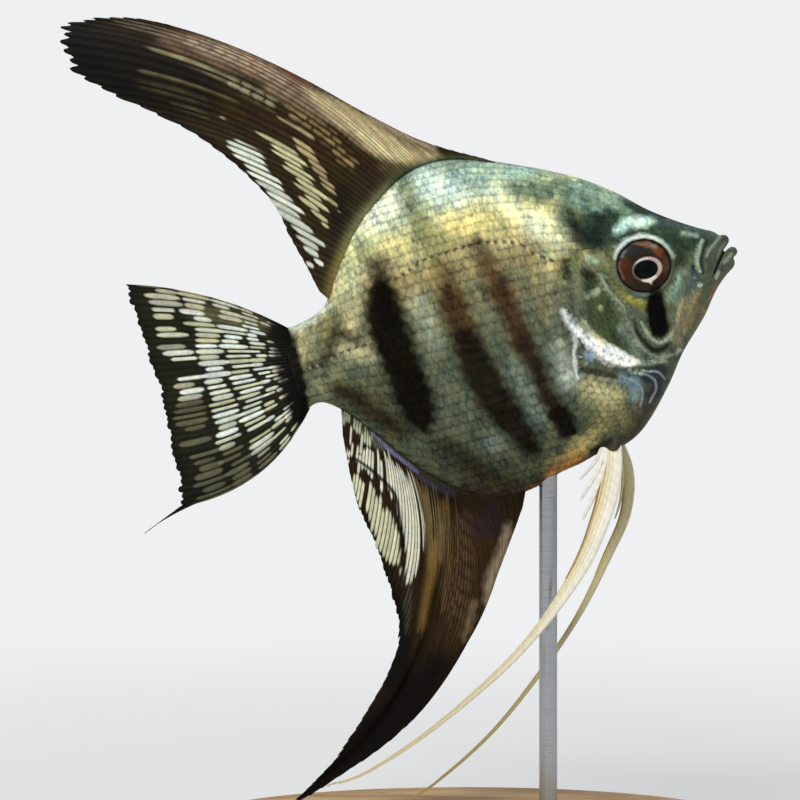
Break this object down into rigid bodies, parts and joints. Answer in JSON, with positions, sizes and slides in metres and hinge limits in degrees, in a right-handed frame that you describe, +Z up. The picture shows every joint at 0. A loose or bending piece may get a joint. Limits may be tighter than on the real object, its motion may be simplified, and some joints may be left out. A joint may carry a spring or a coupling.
{
  "type": "freshwater angelfish display model",
  "caption": "Still life-size freshwater angelfish with tall dorsal and anal fins, trailing pelvic fins and dark bars, held by a rod on an oval base.",
  "frame": {"origin": "middle of the stand base's underside, on the surface that it rests on", "axes": "+Z up, +X towards the fish's head, and -Y towards the viewer of its right flank"},
  "size_m": [0.1185, 0.062, 0.1431],
  "materials": {
    "skin": "silvery scales with dark bars, wet gloss",
    "eye": "red-brown iris with a pale ring round a black pupil, polished",
    "dark_fin": "dark brown web with cream dashes along the rays",
    "clear_fin": "clear web with faint rays",
    "pale_fin": "cream-white ray with a brown streak",
    "stand_wood": "pale oiled hardwood, satin",
    "stand_steel": "brushed"
  },
  "bodies": {
    "root": {"trunk": "skin", "tail_base": "skin", "head": "skin", "upper_jaw": "skin", "lower_jaw": "skin", "gill_cover_right": "skin", "gill_cover_left": "skin", "eye_right": "eye", "eye_left": "eye", "dorsal_fin": "dark_fin", "anal_fin": "dark_fin", "tail_fin": "dark_fin", "pectoral_fin_right": "clear_fin", "pectoral_fin_left": "clear_fin", "pelvic_fin_right": "pale_fin", "pelvic_fin_left": "pale_fin", "stand_base": "stand_wood", "stand_rod": "stand_steel"}
  },
  "joints": []
}
